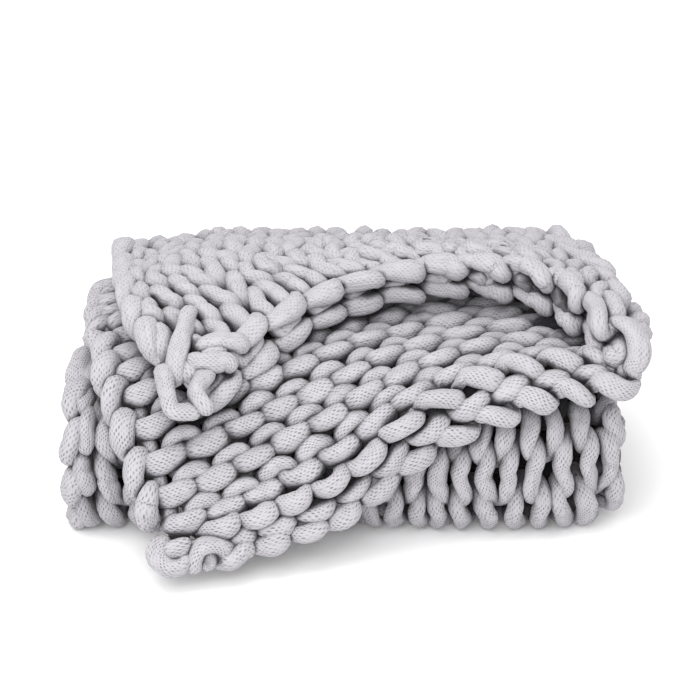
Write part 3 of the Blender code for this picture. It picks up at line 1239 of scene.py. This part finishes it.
class Tone:
    """A number that varies over a surface: one socket, with the arithmetic that finishes need."""

    def __init__(self, shading: "Shading", socket: bpy.types.NodeSocket) -> None:
        """Wrap a socket of a material's nodes."""
        self.shading = shading
        self.socket = socket

    def math(self, operation: str, *others: "Tone | float", first: "float | None" = None) -> "Tone":
        """Add one Math node.

        Args:
            operation: What it does.
            others: What else goes in, after this number.
            first: What goes in before it, if anything.

        Returns:
            What comes out.
        """
        terms = ([self] if first is None else [first, self]) + list(others)
        return self.shading.tone("ShaderNodeMath", {"operation": operation}, dict(enumerate(terms)))

    def __add__(self, other: "Tone | float") -> "Tone":
        """The sum."""
        return self.math("ADD", other)

    __radd__ = __add__

    def __mul__(self, other: "Tone | float") -> "Tone":
        """The product."""
        return self.math("MULTIPLY", other)

    __rmul__ = __mul__

    def __sub__(self, other: "Tone | float") -> "Tone":
        """The difference."""
        return self.math("SUBTRACT", other)

    def __rsub__(self, other: float) -> "Tone":
        """A number less this one."""
        return self.math("SUBTRACT", first=other)

    def __truediv__(self, other: "Tone | float") -> "Tone":
        """The quotient."""
        return self.math("DIVIDE", other)

    def __pow__(self, other: "Tone | float") -> "Tone":
        """The power."""
        return self.math("POWER", other)

    def fraction(self) -> "Tone":
        """The part after the point."""
        return self.math("FRACT")

    def floor(self) -> "Tone":
        """The whole number below."""
        return self.math("FLOOR")

    def size(self) -> "Tone":
        """The number without its sign."""
        return self.math("ABSOLUTE")

    def wave(self) -> "Tone":
        """The cosine."""
        return self.math("COSINE")

    def swing(self) -> "Tone":
        """The sine."""
        return self.math("SINE")

    def between(self, low: float, high: float) -> "Tone":
        """0 below low, 1 above high, and smooth in between."""
        return self.shading.tone(
            "ShaderNodeMapRange", {"interpolation_type": "SMOOTHSTEP"},
            {"Value": self, "From Min": low, "From Max": high}, "Result")


class Shading:
    """The nodes of one material."""

    def __init__(self, name: str) -> None:
        """Start a material of that name."""
        self.material = bpy.data.materials.new(name)
        self.material.use_nodes = True
        self.tree = self.material.node_tree
        self.surface = self.tree.nodes["Principled BSDF"]

    def node(self, kind: str, settings: dict, inputs: dict) -> bpy.types.Node:
        """Add a node.

        Args:
            kind: Its type.
            settings: Its own settings, which are set first.
            inputs: Values or sources for its sockets, by name or number.

        Returns:
            The node.
        """
        node = self.tree.nodes.new(kind)
        for name, value in settings.items():
            setattr(node, name, value)
        for key, value in inputs.items():
            self.feed(node.inputs[key], value)
        return node

    def feed(self, socket: bpy.types.NodeSocket, value: "Tone | bpy.types.NodeSocket | float") -> None:
        """Link a source to a socket, or set the socket's value."""
        if isinstance(value, Tone):
            value = value.socket
        if isinstance(value, bpy.types.NodeSocket):
            self.tree.links.new(value, socket)
        else:
            socket.default_value = value

    def tone(self, kind: str, settings: dict, inputs: dict, output: int | str = 0) -> Tone:
        """Add a node and take one of its outputs as a number."""
        return Tone(self, self.node(kind, settings, inputs).outputs[output])

    def vector(self, x: Tone | float, y: Tone | float, z: Tone | float) -> bpy.types.NodeSocket:
        """Three numbers as a vector."""
        return self.node("ShaderNodeCombineXYZ", {}, {"X": x, "Y": y, "Z": z}).outputs[0]

    def noise(self, place: bpy.types.NodeSocket, scale: float, detail: float, rough: float = 0.5) -> Tone:
        """Soft noise from 0 to 1 at a place."""
        return self.tone("ShaderNodeTexNoise", {},
                         {"Vector": place, "Scale": scale, "Detail": detail, "Roughness": rough}, "Fac")

    def blend(self, share: Tone, low: "tuple[float, ...] | bpy.types.NodeSocket",
              high: "tuple[float, ...] | bpy.types.NodeSocket") -> bpy.types.NodeSocket:
        """A colour between two others."""
        return self.node("ShaderNodeMix", {"data_type": "RGBA"},
                         {"Factor": share, "A": low, "B": high}).outputs["Result"]


@dataclass(frozen=True)
class YarnFinish:
    """Tubular yarn, knitted fine and left soft: small stitches, creases along it and a little fuzz, with
    shade painted in its holes and creases and where other yarns close it in, and painted light on top.

    Attributes:
        light: Colour of its stitches.
        hole_shade_colour: Colour of the holes between them: painted shade.
        painted_shade_colour: Colour of the shade painted on the yarn where it is closed in.
        columns: Columns of stitches round the yarn.
        crease_depth: Depth of its creases, in metres.
        swell: How much deeper its broad swells are than its creases.
        stitch_depth: Depth of the holes between its stitches, in metres.
        fuzz_depth: Depth of its fuzz, in metres.
        hole: Half width and half length of a hole, in stitches.
        slant: How much the holes slant.
        wander: How far the columns wander sideways and along, in stitches.
        lit_top_heights: Where the holes start to fade towards the top and where they have, in metres up.
        lit_top_fade: How much of the holes the fade takes away: painted light that makes the top lighter,
            and a flatter bump with it.
        painted_shade_range: How closed in the yarn is where its painted shade is darkest, and where there
            is none.
        hole_shade, crease_shade, worn_shade: How much each of them darkens it: the holes and the creases
            with painted shade, the worn patches with tone that differs at random.
    """

    light: tuple[float, float, float, float] = (0.404, 0.392, 0.417, 1.0)
    hole_shade_colour: tuple[float, float, float, float] = (0.13, 0.124, 0.139, 1.0)
    painted_shade_colour: tuple[float, float, float, float] = (0.018, 0.017, 0.020, 1.0)
    columns: int = 26
    crease_depth: float = 0.0005
    swell: float = 5.0
    stitch_depth: float = 0.0007
    fuzz_depth: float = 0.0003
    hole: tuple[float, float] = (0.36, 0.30)
    slant: float = 0.35
    wander: tuple[float, float] = (1.2, 0.8)
    lit_top_heights: tuple[float, float] = (0.17, 0.25)
    lit_top_fade: float = 0.45
    painted_shade_range: tuple[float, float] = (0.12, 0.80)
    hole_shade: float = 0.75
    crease_shade: float = 0.03
    worn_shade: float = 0.05

    def build(self, name: str) -> bpy.types.Material:
        """The finish as a material.

        Args:
            name: The material's name.

        Returns:
            The material.
        """
        shading = Shading(name)
        uv = shading.node("ShaderNodeUVMap", {"uv_map": "yarn"}, {}).outputs["UV"]
        split = shading.node("ShaderNodeSeparateXYZ", {}, {"Vector": uv})
        around = Tone(shading, split.outputs["X"])
        along = Tone(shading, split.outputs["Y"])
        place = shading.node("ShaderNodeTexCoord", {}, {}).outputs["Object"]

        angle = around * (2 * np.pi / self.columns)
        ring = shading.vector(angle.wave() * 0.9, angle.swing() * 0.9, along * 0.085)
        crease = (shading.noise(ring, 1.1, 1.0) - 0.5).size().between(0.0, 0.06)
        broad = shading.noise(ring, 0.7, 0.0)

        drift = shading.noise(place, 55.0, 1.0) - 0.5
        wandering = around + drift * self.wander[0]
        stagger = (wandering.floor() * 0.5).fraction()
        sideways = wandering.fraction() - 0.5
        lengthways = (along + stagger + drift * self.wander[1] + sideways * self.slant).fraction() - 0.5
        away = (sideways.size() / self.hole[0]) ** 2.0 + (lengthways.size() / self.hole[1]) ** 2.0
        hole = 1.0 - away.between(0.15, 1.0)
        uneven = shading.noise(place, 130.0, 1.0).between(0.3, 0.62)
        # painted light: the holes fade towards the top, which reads as a lighter top, and their bump
        # flattens with them.
        height_up = Tone(shading, shading.node("ShaderNodeSeparateXYZ", {}, {"Vector": place}).outputs["Z"])
        lit_top_fade = height_up.between(*self.lit_top_heights)
        hole = hole * (0.25 + 0.75 * uneven) * (1.0 - lit_top_fade * self.lit_top_fade)

        fuzz = shading.noise(place, 900.0, 2.0, 0.6)
        height = (crease * self.crease_depth + broad * self.crease_depth * self.swell
                  - hole * self.stitch_depth + fuzz * self.fuzz_depth)
        bump = shading.node("ShaderNodeBump", {}, {"Strength": 1.0, "Distance": 1.0, "Height": height})
        shading.feed(shading.surface.inputs["Normal"], bump.outputs["Normal"])

        worn = shading.noise(place, 7.0, 2.0).between(0.3, 0.7)
        # painted shade in the holes and creases, with a tone that differs at random.
        shade = hole * self.hole_shade + (1.0 - crease) * self.crease_shade + worn * self.worn_shade
        # painted shade: the colour goes over to near-black where other yarns close the yarn in.
        unshaded_attribute = shading.tone("ShaderNodeAttribute", {"attribute_name": "painted_unshaded"}, {}, "Fac")
        colour = shading.blend(unshaded_attribute.between(*self.painted_shade_range), self.painted_shade_colour,
                               shading.blend(shade, self.light, self.hole_shade_colour))
        shading.feed(shading.surface.inputs["Base Color"], colour)
        shading.surface.inputs["Roughness"].default_value = 0.95
        shading.surface.inputs["Specular IOR Level"].default_value = 0.15
        shading.surface.inputs["Sheen Weight"].default_value = 0.12
        shading.surface.inputs["Sheen Roughness"].default_value = 0.5
        return shading.material


# ---------------------------------------------------------------- the whole throw

PIECE_COURSES = 7
# Pieces that get no painted shade from the cloth's layers.
NO_LAYER_SHADE = ("bound_edge", "corner_knots")


def main(cad_box: Array) -> None:
    """Build the studio and every piece of the throw.

    Args:
        cad_box: Lowest and highest corner of the CAD part.
    """
    Studio().build()
    cloth = FoldedCloth()
    cloth.rule()
    cloth.centre_on(cad_box[0], cad_box[1])
    yarns = Knitting(cloth).rows()
    material = YarnFinish().build("light_grey_yarn")
    names = ("courses_at_the_edge", "courses_on_top", "courses_at_the_front", "courses_below")
    bands = {name: yarns[start:start + PIECE_COURSES]
             for name, start in zip(names, range(0, len(yarns), PIECE_COURSES))}
    edging = Edging(cloth)
    bands["bound_edge"] = [edging.bound(False), edging.bound(True)]
    bands["cast_on_edge"] = [edging.cast_on()]
    bands["selvedges"] = edging.selvedges()
    bands["corner_knots"] = TOP_KNOT.tie(cloth, True) + TIP_KNOT.tie(cloth, False)
    everything = [yarn for band in bands.values() for yarn in band]
    Settling().settle(everything)
    log.info("settled")
    # painted shade: the yarns' colour is darkened where they close each other in.
    mesher = YarnMesher(PaintedShade(everything, yarns))
    for name, band in bands.items():
        piece = mesher.build(name, band, name not in NO_LAYER_SHADE)
        piece.data.materials.append(material)
        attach(piece, "root")
        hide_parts("blanket")
        log.info("%s: %d faces", name, len(piece.data.polygons))


if __name__ == "__main__":
    logging.basicConfig(level=logging.INFO, format="%(message)s")
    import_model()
    cad_bounds = np.array(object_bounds(), float)
    main(cad_bounds)
